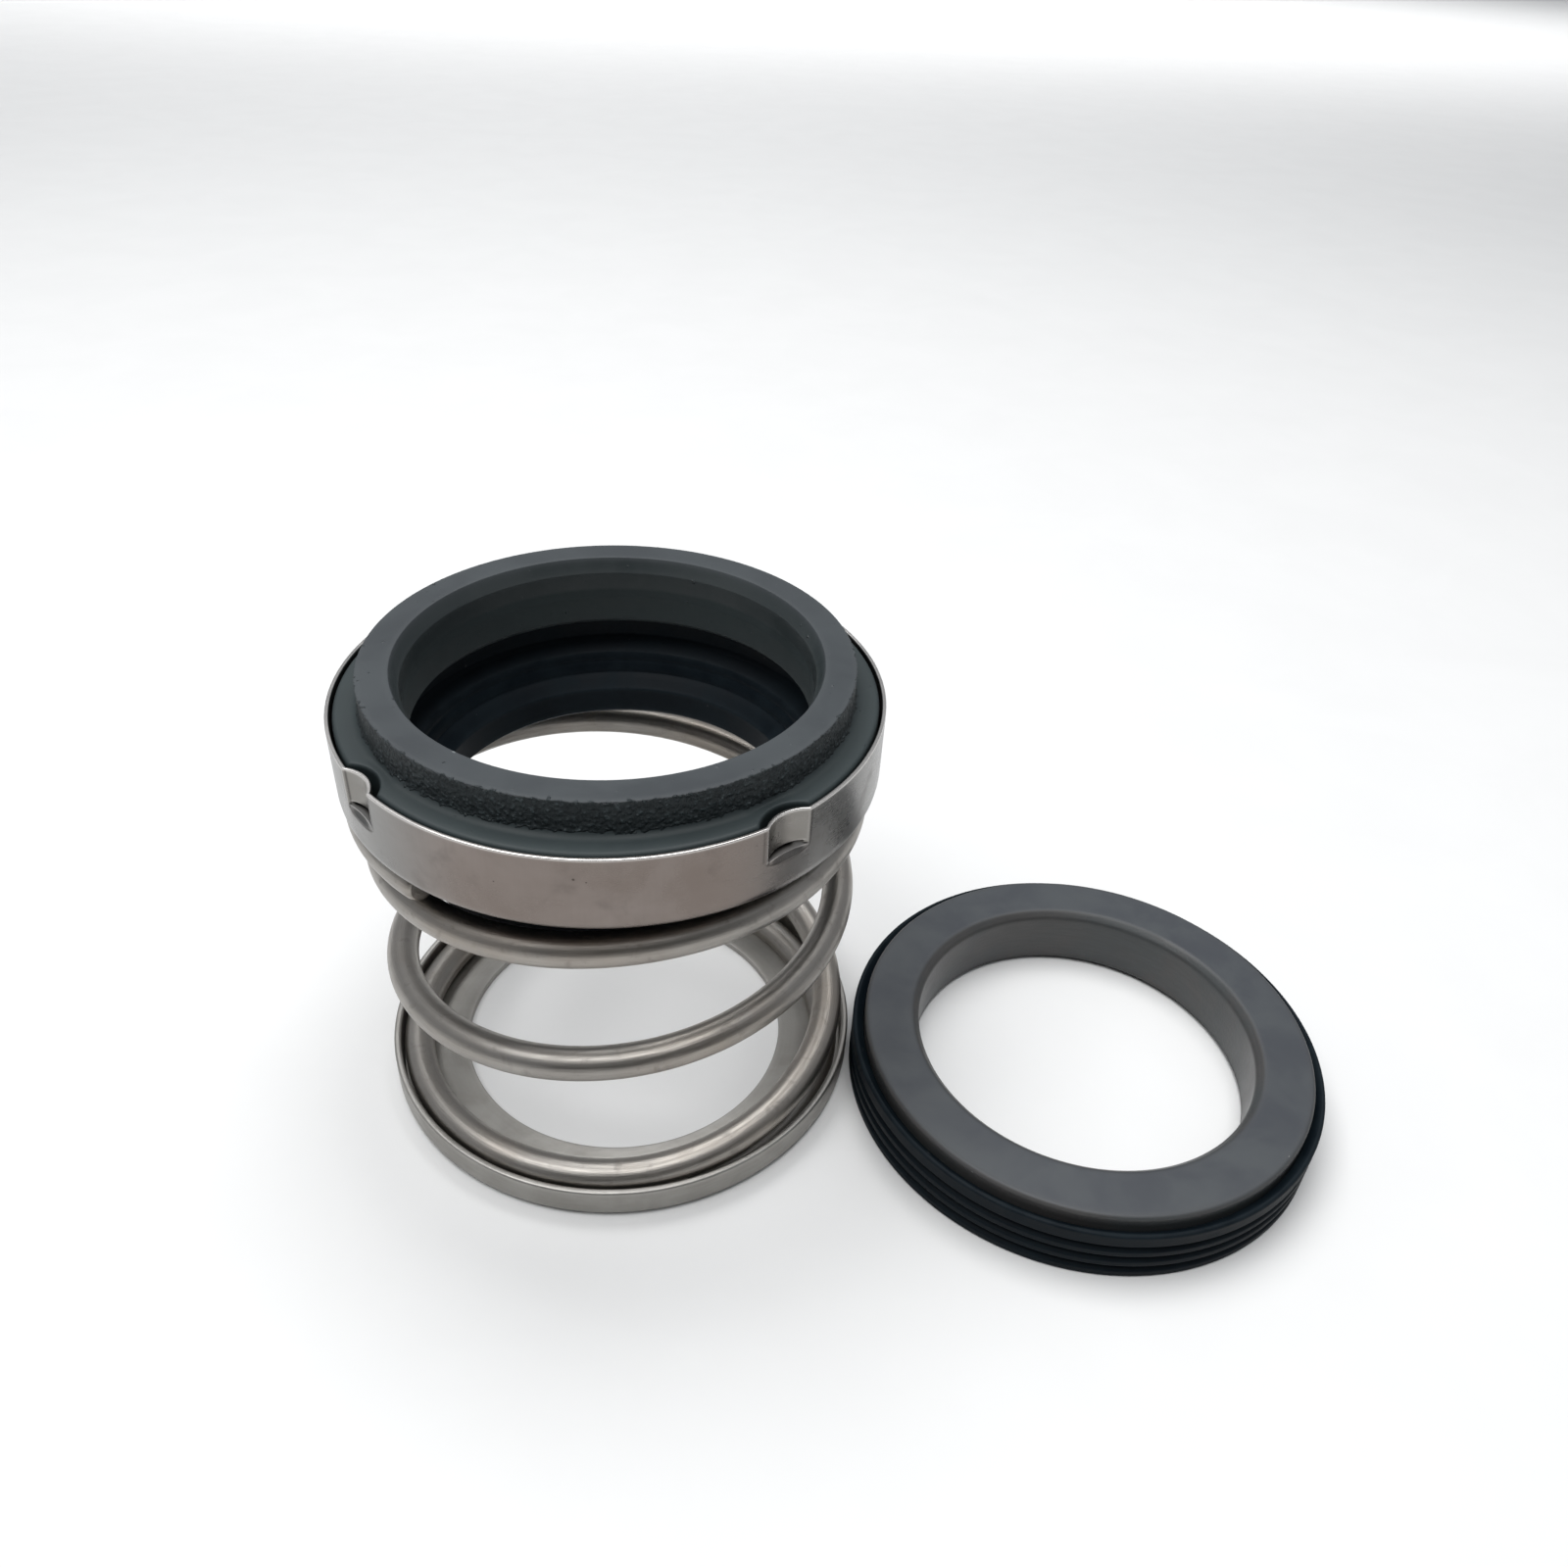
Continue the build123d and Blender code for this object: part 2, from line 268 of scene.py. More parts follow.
def add_uv(piece, u, v):
    """UV map of one value pair per vertex, for patterns that follow the surface."""
    mesh = piece.data
    corner_vertex = np.empty(len(mesh.loops), np.int32)
    mesh.loops.foreach_get("vertex_index", corner_vertex)
    pairs = np.stack([u.ravel(), v.ravel()], axis=1)[corner_vertex]
    mesh.uv_layers.new(name="along").uv.foreach_set("vector", pairs.astype(np.float32).ravel())


def turned_points(outline, angles, size, reshape=None):
    """The outline carried round the piece's axis: x = r sin(a), y = -r cos(a).

    reshape, if given, gets the radius, angle and height of every point and returns the new radius.
    """
    radius, angle = np.meshgrid(outline[:, 0], angles)
    height = np.broadcast_to(outline[:, 1], radius.shape)
    if reshape is not None:
        radius = reshape(radius, angle, height)
    return np.stack([size.x + radius * np.sin(angle), size.y - radius * np.cos(angle), height], axis=-1)


def even_angles(count):
    """Evenly spaced angles round the axis."""
    return np.linspace(0, 2 * np.pi, count, endpoint=False)


def angles_with_detail(centres, half_width, fine, coarse):
    """Angles round the axis, at a coarse step with a fine one near the centres."""
    near = [centre + np.arange(-half_width, half_width, fine) for centre in centres]
    spread = np.arange(0, 2 * np.pi, coarse)
    away = np.abs(turn_between(spread[:, None], np.array(centres))).min(1) > half_width + coarse / 3
    return np.sort(np.concatenate([*near, spread[away]]) % (2 * np.pi))


def turn_between(angle, centre):
    """Signed angle from the centre, between -pi and pi."""
    return (angle - centre + np.pi) % (2 * np.pi) - np.pi


def nearest_lug(angle):
    """Signed angle from the nearest lug."""
    quarter = np.pi / 2
    return (angle - lug_angles[0] + quarter / 2) % quarter - quarter / 2


# --- pieces ------------------------------------------------------------------------------------------------

def primary_ring(material):
    """Seal ring: outline round the axis, its shoulder drawn in to an arc at each of the four notches."""
    size = turned_size("primary_ring")
    shoulder_top = size.high - nose_height
    outline = rounded_outline([
        (size.inner + ring_back_chamfer, size.low, 0.1 * MM),
        (size.outer, size.low, ring_back_chamfer),
        (size.outer, shoulder_top, ring_edge_rounding),
        (nose_radius, shoulder_top, nose_root_radius),
        (nose_radius, size.high, ring_face_rounding),
        (mouth_radius, size.high, 0.1 * MM),
        (throat_radius, size.high - mouth_depth, 0.25 * MM),
        (size.inner, size.high - throat_depth, 0.3 * MM),
        (size.inner, size.low + ring_back_chamfer, 0.1 * MM),
    ], longest=0.45 * MM)
    depth = size.outer - notch_bottom
    cutter = ((notch_width / 2) ** 2 + depth**2) / (2 * depth)

    def notched(radius, angle, height):
        turn = nearest_lug(angle)
        far = notch_bottom + cutter
        chord = np.sqrt(np.maximum(cutter**2 - (far * np.sin(turn)) ** 2, 0))
        scoop = np.where(np.abs(far * np.sin(turn)) < cutter, far * np.cos(turn) - chord, size.outer + depth)
        limit = size.outer - soft_positive(size.outer - scoop, pressed_softness)
        share = np.clip((limit - nose_radius) / (size.outer - nose_radius), 0, 1)
        return np.where(radius > nose_radius, nose_radius + (radius - nose_radius) * share, radius)

    angles = angles_with_detail(lug_angles, half_width=0.15, fine=0.006, coarse=0.02)
    points = turned_points(outline, angles, size, notched)
    from_root = outline[:, 1] - shoulder_top
    from_edge = outline[:, 0] - nose_radius + size.high - outline[:, 1]
    rough = np.clip((from_edge + coarse_over_edge) / coarse_edge_fade, 0, 1)
    rough *= np.clip((from_root - coarse_above_root) / coarse_root_fade, 0, 1)
    rough *= outline[:, 0] > nose_radius - coarse_reach_in
    shoulder = smooth_step((outline[:, 0] - nose_radius) / (0.1 * MM)) + (from_root < 0)
    inside = smooth_step((mouth_radius - outline[:, 0]) / (0.3 * MM))
    shares = {"edge": outline[:, 2], "rough": rough, "inside": inside, "shoulder": np.minimum(shoulder, 1)}
    return surface("seal_face_ring", points, "sealing_head", "primary_ring", material, True, shares=shares)


def retainer(material):
    """Pressed can: sheet outline round the axis, pushed in by an arc at each lug down to its torn slit."""
    size = turned_size("retainer")
    inside = size.outer - steel_sheet
    slit_top = size.high - lug_height
    slit_bottom = slit_top - slit_height
    outline = rounded_outline([
        (size.inner, size.low, 0.15 * MM),
        (size.outer, size.low, can_bend_radius),
        (size.outer, size.high, rim_rounding),
        (inside, size.high, rim_rounding),
        (inside, size.low + steel_sheet, can_bend_radius - steel_sheet),
        (size.inner, size.low + steel_sheet, 0.15 * MM),
    ], longest=0.25 * MM)
    # Close rows of points make the slit's edges sharp and its lip round.
    edge, row_step = 0.025 * MM, 0.08 * MM
    slit_edges = [slit_top + edge, slit_top - edge, slit_bottom + edge, slit_bottom - edge]
    above = np.arange(slit_top + 0.1 * MM, slit_top + 0.35 * MM, row_step)
    beneath = np.arange(slit_bottom - 0.1 * MM, slit_bottom - lip_height - 0.3 * MM, -row_step)
    outline = with_heights(outline, [*slit_edges, *above, *beneath])
    arc_radius = ((lug_width / 2) ** 2 + lug_depth**2) / (2 * lug_depth)

    def pressed(radius, angle, height):
        across = nearest_lug(angle) * size.outer
        rise = np.sqrt(np.maximum(arc_radius**2 - across**2, 0)) - (arc_radius - lug_depth)
        lug = soft_positive(np.where(np.abs(across) < arc_radius, rise, -lug_depth), pressed_softness)
        below = np.clip((slit_bottom - height) / lip_height, 0, 1)
        lip = lug * lip_depth / lug_depth * fade_out(below, 0, 1)
        torn = np.clip((lug - 0.3 * lug_depth) / (0.2 * lug_depth), 0, 1)
        gap = lug + torn * slit_set_back * steel_sheet
        push = np.where(height > slit_top, lug, np.where(height > slit_bottom, gap, lip))
        on_wall = radius > inside - 0.02 * MM
        return np.where(on_wall, radius - push, radius)

    angles = angles_with_detail(lug_angles, half_width=0.12, fine=0.003, coarse=0.024)
    points = turned_points(outline, angles, size, pressed)
    along = (nearest_lug(angles) * size.outer)[:, None]
    across = np.abs(along)
    height = outline[:, 1]
    # The slit is painted near black: painted shade in the gap.
    in_slit = (height < slit_top) & (height > slit_bottom) & (outline[:, 0] > inside - 0.02 * MM)
    slit = in_slit * fade_out(across, slit_end * lug_width, 0.1 * lug_width)
    slit = slit * fade_out(along, slit_narrows * lug_width, 0.16 * lug_width)
    bulge = np.sqrt(np.maximum(1 - (across / (lip_end * lug_width)) ** 2, 0))
    lip_bottom = slit_bottom - lip_height * bulge
    in_lug = smooth_step((height - lip_bottom) / (0.12 * MM)) * (height < size.high)

    def line_at(distance, half_width):
        """1 on a line, falling to 0 at half_width from it."""
        return fade_out(np.abs(distance), 0, half_width)

    # Dark lines at the creases beside a lug: painted shade.
    left_crease, right_crease, outer_crease = (
        line_at(along - at * lug_width, half) for at, half in lug_creases
    )
    crease = (left_crease + right_crease + 0.6 * outer_crease) * in_lug
    # Bright lines at the ridges beside a lug and at the torn edges: painted highlights.
    left_ridge, right_ridge = (line_at(along - at * lug_width, half) for at, half in lug_ridges)
    ridge = (0.4 * left_ridge + 0.1 * right_ridge) * in_lug
    # A dark line under the lip: painted shade.
    below = line_at(height - lip_bottom, 0.16 * MM) * (across < lip_end * lug_width)
    torn = line_at(height - slit_top - 0.08 * MM, 0.12 * MM)
    torn = torn + line_at(height - slit_bottom + 0.08 * MM, 0.12 * MM)
    torn = torn * fade_out(across, torn_end * lug_width, 0.06 * lug_width)
    # The lug's panel is painted lighter: painted light.
    panel = fade_out(across, panel_end * lug_width, 0.06 * lug_width)
    panel = panel * in_lug * (height > slit_bottom)
    # A warm band round the front: a painted reflection.
    from_front = np.abs(turn_between(angles, reflection_middle))[:, None]
    shares = {
        "edge": outline[:, 2], "slit": slit, "panel": panel,
        "fold": np.maximum(crease, below), "ridge": np.maximum(ridge, 0.4 * np.minimum(torn, 1)),
        "front_reflection": fade_out(from_front, reflection_half, reflection_fade),
    }
    return surface("steel_can", points, "sealing_head", "retainer", material, True, shares=shares)


def bellows(material):
    """Rubber bellows: outline round the axis, with moulding grooves inside the throat."""
    size = turned_size("bellows")
    can_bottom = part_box("retainer")[0].z
    flange_bottom = can_bottom + steel_sheet
    tail = turned_size("retainer").inner - tail_clearance
    ledge = can_bottom + ledge_rise
    outline = rounded_outline([
        (tail - tail_edge_chamfer, size.low, 0.3 * MM),
        (tail, size.low + tail_edge_chamfer, 0.3 * MM),
        (tail, flange_bottom, 0.05 * MM),
        (size.outer - flange_edge_chamfer, flange_bottom, 0.2 * MM),
        (size.outer, flange_bottom + flange_edge_chamfer, 0.2 * MM),
        (size.outer, size.high, 0.3 * MM),
        (flange_hole_radius, size.high, 0.3 * MM),
        (flange_hole_radius, ledge + flange_hole_radius - ledge_radius, 0.2 * MM),
        (ledge_radius, ledge, 0.2 * MM),
        (rubber_throat_radius, can_bottom, 0.3 * MM),
        (rubber_neck_radius, can_bottom - rubber_neck_drop, 0.5 * MM),
        (size.inner, size.low + grip_top_rise, 0.4 * MM),
        (size.inner, size.low + grip_lead_in, 0.1 * MM),
        (size.inner + grip_lead_in, size.low, 0.1 * MM),
    ], longest=0.2 * MM)

    def grooved(radius, angle, height):
        away = np.abs(height[..., None] - can_bottom + mould_groove_drops).min(-1)
        groove = mould_groove_depth * np.exp(-((away / mould_groove_width) ** 2))
        return np.where(radius < grooves_within_radius, radius + groove, radius)

    points = turned_points(outline, even_angles(240), size, grooved)
    shares = {"edge": outline[:, 2]}
    return surface("rubber_bellows", points, "sealing_head", "bellows", material, True, shares=shares)


def wire_path(angle):
    """Radius, height and share of the free stretch of the wire's centre line, at each angle in degrees.

    The height climbs by closed_pitch a turn, and the rest of the climb follows the running sum of a window
    that opens at lift_off, closes at landing and leans towards the lower coils.
    """
    bottom = turned_size("spring_seat").low + seat_sheet
    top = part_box("retainer")[0].z
    low = bottom + bottom_tip - wire_radius
    high = top - top_tip + wire_radius
    middle = (lift_off + landing + landing_span) / 2
    opening = smooth_step((angle - lift_off) / lift_off_span)
    opening *= fade_out(angle, landing, landing_span)
    opening *= 1 + pitch_slack * (middle - angle) / 360
    share = np.cumsum(opening)
    share /= share[-1]
    closed = closed_pitch * (angle - coil_start) / 360
    height = low + closed + (high - low - closed[-1]) * share
    radius = coil_radius + top_flare * smooth_step((angle - coil_end + top_flare_span) / top_flare_span)
    radius -= bottom_draw_in * smooth_step((coil_start + bottom_draw_in_span - angle) / bottom_draw_in_span)
    return radius, height, share, bottom, top


def spring(material):
    """Coil of round wire: a circle carried along the path, cut flat at both ends as if ground."""
    turn = np.linspace(coil_start, coil_end, 1000)
    radius, height, share, bottom, top = wire_path(turn)
    angle = np.radians(turn)
    line = np.stack([radius * np.sin(angle), -radius * np.cos(angle), height], axis=1)
    tangent = np.gradient(line, axis=0)
    tangent /= np.linalg.norm(tangent, axis=1, keepdims=True)
    outward = np.stack([np.sin(angle), -np.cos(angle), np.zeros_like(angle)], axis=1)
    outward -= tangent * (outward * tangent).sum(1, keepdims=True)
    outward /= np.linalg.norm(outward, axis=1, keepdims=True)
    upward = np.cross(outward, tangent)
    upward *= np.sign(upward[:, 2:])

    around = even_angles(48)
    section = np.cos(around)[:, None] * outward[:, None] + np.sin(around)[:, None] * upward[:, None]
    along = np.concatenate([[0], np.cumsum(np.linalg.norm(np.diff(line, axis=0), axis=1))])
    to_end = np.minimum(along, along[-1] - along)
    cut_in = np.sqrt(wire_end_bevel**2 - (wire_end_bevel - np.minimum(to_end, wire_end_bevel)) ** 2)
    thickness = wire_radius - wire_end_bevel + cut_in
    points = line[:, None] + section * thickness[:, None, None]
    points[..., 2] = np.clip(points[..., 2], bottom, top)
    ground = np.isclose(points[..., 2], bottom) | np.isclose(points[..., 2], top)
    coil = surface(
        "coil_spring", points, "base", "spring", material, False, caps=True, shares={"ground": ground}
    )
    add_uv(coil, np.repeat(along, len(around)), np.tile(around / (2 * np.pi), len(along)))
    coil.parent = None
    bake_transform(coil)
    return coil


def spring_seat(material):
    """Dished ring of pressed sheet: outline turned round the axis."""
    size = turned_size("spring_seat")
    inside = size.outer - seat_sheet
    outline = rounded_outline([
        (size.inner, size.low, 0.12 * MM),
        (size.outer, size.low, 1.0 * MM),
        (size.outer, size.high, 0.3 * MM),
        (inside, size.high, 0.3 * MM),
        (inside, size.low + seat_sheet, 0.2 * MM),
        (size.inner, size.low + seat_sheet, 0.12 * MM),
    ], longest=0.4 * MM)
    points = turned_points(outline, even_angles(240), size)
    shares = {"edge": outline[:, 2]}
    return surface("dished_spring_seat", points, "base", "spring_seat", material, True, shares=shares)


def seat_ring(material):
    """Stationary ring: outline turned round its own axis, with the lapped face on top."""
    size = turned_size("seat_ring")
    neck = turned_size("seat_boot").inner - rubber_fit
    step = size.low + neck_length
    outline = rounded_outline([
        (size.inner + seat_back_chamfer, size.low, 0.1 * MM),
        (neck, size.low, 0.3 * MM),
        (neck, step, 0.05 * MM),
        (size.outer, step, 0.3 * MM),
        (size.outer, size.high - seat_face_chamfer, 0.45 * MM),
        (size.outer - seat_face_chamfer, size.high, 0.45 * MM),
        (size.inner + seat_mouth_chamfer, size.high, 0.8 * MM),
        (size.inner, size.high - seat_mouth_chamfer, 0.8 * MM),
        (size.inner, size.low + seat_back_chamfer, 0.1 * MM),
    ], longest=0.4 * MM)
    points = turned_points(outline, even_angles(260), size)
    lapped = smooth_step((outline[:, 1] - size.high + lapped_drop) / lapped_fade)
    shares = {"edge": outline[:, 2], "lapped": lapped}
    return surface("stationary_ring", points, "base", "seat_ring", material, True, shares=shares)


def seat_boot(material):
    """Rubber cup with three soft ribs: grooves of cosine section between flat crests of one radius."""
    size = turned_size("seat_boot")
    ring = turned_size("seat_ring")
    pocket = ring.outer + rubber_fit
    dip = size.high - boot_lip_dip
    floor_top = ring.low + neck_length
    outline = rounded_outline([
        (size.inner, size.low, 0.15 * MM),
        (size.outer, size.low, 0.3 * MM),
        (size.outer, size.high, 0.3 * MM),
        (size.outer - boot_lip_land, size.high, 0.05 * MM),
        (pocket, dip, 0.15 * MM),
        (pocket, floor_top, 0.05 * MM),
        (size.inner, floor_top, 0.1 * MM),
    ], longest=0.12 * MM)

    def ribbed(radius, angle, height):
        away = np.abs(height[..., None] - size.low - rib_groove_heights).min(-1) / rib_groove_half
        groove = rib_groove_depth * fade_out(away, 0, 1)
        return np.where(radius > size.outer - 0.01 * MM, radius - groove, radius)

    points = turned_points(outline, even_angles(240), size, ribbed)
    shares = {"edge": outline[:, 2]}
    return surface("ribbed_boot", points, "base", "seat_boot", material, True, shares=shares)


# --- finishes ----------------------------------------------------------------------------------------------

def add_node(tree, kind, inputs=None, **settings):
    """A shader node in the tree. Each input gets a value, or the output socket that feeds it."""
    node = tree.nodes.new("ShaderNode" + kind)
    for label, value in settings.items():
        setattr(node, label, value)
    for socket, value in (inputs or {}).items():
        if isinstance(value, bpy.types.NodeSocket):
            tree.links.new(value, node.inputs[socket])
        else:
            node.inputs[socket].default_value = value
    return node


def calculated(tree, operation, first, second=0.0):
    """The result of a sum, product or other operation on two values."""
    return add_node(tree, "Math", {0: first, 1: second}, operation=operation).outputs[0]


def ranged(tree, value, low, high, to_low=0.0, to_high=1.0):
    """The value brought from low..high to to_low..to_high with soft ends."""
    ends = {"Value": value, "From Min": low, "From Max": high, "To Min": to_low, "To Max": to_high}
    return add_node(tree, "MapRange", ends, interpolation_type="SMOOTHSTEP").outputs["Result"]


def mixed(tree, share, first, second):
    """Two colours mixed, the second by the share."""
    node = add_node(tree, "Mix", data_type="RGBA")
    for socket, value in ((node.inputs[0], share), (node.inputs[6], first), (node.inputs[7], second)):
        if isinstance(value, bpy.types.NodeSocket):
            tree.links.new(value, socket)
        else:
            socket.default_value = (*value, 1) if isinstance(value, tuple) else value
    return node.outputs[2]


def new_group(name, inputs, outputs):
    """Node group with the named inputs (kind and first value) and outputs (kind)."""
    tree = bpy.data.node_groups.new(name, "ShaderNodeTree")
    for label, (kind, value) in inputs.items():
        socket = tree.interface.new_socket(label, in_out="INPUT", socket_type="NodeSocket" + kind)
        socket.default_value = value
    for label, kind in outputs.items():
        tree.interface.new_socket(label, in_out="OUTPUT", socket_type="NodeSocket" + kind)
    return tree, tree.nodes.new("NodeGroupInput").outputs, tree.nodes.new("NodeGroupOutput").inputs


def clouding_group():
    """Mask of soft uneven clouds, from fractal noise between Low and High."""
    tree, given, out = new_group("clouding", {
        "Vector": ("Vector", (0, 0, 0)), "Scale": ("Float", 100.0),
        "Low": ("Float", 0.35), "High": ("Float", 0.65),
    }, {"Mask": "Float"})
    noise = add_node(tree, "TexNoise", {
        "Vector": given["Vector"], "Scale": given["Scale"],
        "Detail": 4.0, "Roughness": 0.6, "Distortion": 0.4,
    })
    tree.links.new(ranged(tree, noise.outputs[0], given["Low"], given["High"]), out["Mask"])
    return tree


def grain_group():
    """Height of a pebbled grain, rounded cells broken up by noise, and a mask of its scattered glints."""
    tree, given, out = new_group("grain", {
        "Vector": ("Vector", (0, 0, 0)), "Scale": ("Float", 3000.0),
    }, {"Height": "Float", "Glints": "Float"})
    cells = add_node(tree, "TexVoronoi", {"Vector": given["Vector"], "Scale": given["Scale"]},
                     feature="SMOOTH_F1")
    fine = calculated(tree, "MULTIPLY", given["Scale"], 0.6)
    noise = add_node(tree, "TexNoise", {
        "Vector": given["Vector"], "Scale": fine, "Detail": 3.0, "Roughness": 0.7,
    })
    domes = calculated(tree, "SUBTRACT", 1.0, cells.outputs["Distance"])
    height = calculated(tree, "MULTIPLY", domes, noise.outputs[0])
    chance = add_node(tree, "SeparateColor", {"Color": cells.outputs["Color"]}).outputs[0]
    near = ranged(tree, cells.outputs["Distance"], 0.35, 0.15)
    glint = calculated(tree, "MULTIPLY", near, ranged(tree, chance, 0.9, 0.96))
    tree.links.new(height, out["Height"])
    tree.links.new(glint, out["Glints"])
    return tree


def marks_round_group():
    """Fine marks that run round an upright axis, as lathe, lapping and handling leave them.

    Noise in four dimensions over (cos a, sin a) x radius / Run, height / Spacing and radius / Spacing, with a
    the angle round Centre, so the marks close on themselves.
    """
    tree, given, out = new_group("marks_round", {
        "Vector": ("Vector", (0, 0, 0)), "Centre": ("Vector", (0, 0, 0)),
        "Spacing": ("Float", 0.0003), "Run": ("Float", 0.02),
    }, {"Height": "Float"})
    place = add_node(tree, "VectorMath", {0: given["Vector"], 1: given["Centre"]}, operation="SUBTRACT")
    parts = add_node(tree, "SeparateXYZ", {"Vector": place.outputs[0]}).outputs
    across = calculated(tree, "DIVIDE", parts["Z"], given["Spacing"])
    flat = add_node(tree, "CombineXYZ", {"X": parts["X"], "Y": parts["Y"]}).outputs[0]
    radius = add_node(tree, "VectorMath", {0: flat}, operation="LENGTH").outputs["Value"]
    step = calculated(tree, "DIVIDE", radius, given["Spacing"])
    east = calculated(tree, "DIVIDE", parts["X"], given["Run"])
    north = calculated(tree, "DIVIDE", parts["Y"], given["Run"])
    spot = add_node(tree, "CombineXYZ", {"X": east, "Y": north, "Z": across}).outputs[0]
    noise = add_node(tree, "TexNoise", {
        "Vector": spot, "W": step, "Scale": 1.0, "Detail": 2.0, "Roughness": 0.55,
    }, noise_dimensions="4D")
    tree.links.new(noise.outputs[0], out["Height"])
    return tree


def specks_group():
    """Mask of scattered specks: the middles of a share of Voronoi cells, each of its own size."""
    tree, given, out = new_group("specks", {
        "Vector": ("Vector", (0, 0, 0)), "Scale": ("Float", 400.0),
        "Share": ("Float", 0.1), "Size": ("Float", 0.2),
    }, {"Mask": "Float"})
    cells = add_node(tree, "TexVoronoi", {"Vector": given["Vector"], "Scale": given["Scale"]})
    chance = add_node(tree, "SeparateColor", {"Color": cells.outputs["Color"]}).outputs
    picked = calculated(tree, "LESS_THAN", chance[0], given["Share"])
    reach = calculated(tree, "MULTIPLY", chance[1], given["Size"])
    near = calculated(tree, "LESS_THAN", cells.outputs["Distance"], reach)
    tree.links.new(calculated(tree, "MULTIPLY", picked, near), out["Mask"])
    return tree


def wear_and_highlight_edge_group():
    """Mask of edges made bright, partly by wear and partly as a painted highlight: the edge attribute, broken
    up by noise.
    """
    tree, given, out = new_group("wear_and_highlight_edge", {
        "Vector": ("Vector", (0, 0, 0)), "Edge": ("Float", 0.0),
        "Scale": ("Float", 600.0), "Wear": ("Float", 0.5),
    }, {"Mask": "Float"})
    noise = add_node(tree, "TexNoise", {"Vector": given["Vector"], "Scale": given["Scale"], "Detail": 4.0})
    wear_and_highlight = calculated(tree, "MULTIPLY", given["Wear"], 0.5)
    reached = calculated(tree, "ADD", noise.outputs[0], wear_and_highlight)
    broken = ranged(tree, reached, 0.5, 0.8)
    tree.links.new(calculated(tree, "MULTIPLY", broken, given["Edge"]), out["Mask"])
    return tree


effects = {
    "clouding": clouding_group(),
    "grain": grain_group(),
    "marks_round": marks_round_group(),
    "specks": specks_group(),
    "wear_and_highlight_edge": wear_and_highlight_edge_group(),
}


def effect(tree, name, **inputs):
    """One of the shared effects placed in a finish, as its output sockets."""
    node = tree.nodes.new("ShaderNodeGroup")
    node.node_tree = effects[name]
    for label, value in inputs.items():
        if isinstance(value, bpy.types.NodeSocket):
            tree.links.new(value, node.inputs[label])
        else:
            node.inputs[label].default_value = value
    return node.outputs


def new_finish(name, metallic=0.0, specular=0.5):
    """A material, its node tree, its shader and the Object coordinates that its patterns use."""
    material = bpy.data.materials.new(name)
    material.use_nodes = True
    tree = material.node_tree
    shader = tree.nodes["Principled BSDF"]
    shader.inputs["Metallic"].default_value = metallic
    shader.inputs["Specular IOR Level"].default_value = specular
    place = add_node(tree, "TexCoord").outputs["Object"]
    return material, tree, shader, place


def share_of(tree, name):
    """One of the named shares that a piece carries."""
    return add_node(tree, "Attribute", attribute_name=name).outputs["Fac"]


def bumped(tree, shader, height, distance, under=None):
    """Feeds the shader a normal raised by the height, over an earlier normal if one is given."""
    inputs = {"Height": height, "Distance": distance, "Strength": 1.0}
    if under is not None:
        inputs["Normal"] = under
    normal = add_node(tree, "Bump", inputs).outputs[0]
    tree.links.new(normal, shader.inputs["Normal"])
    return normal


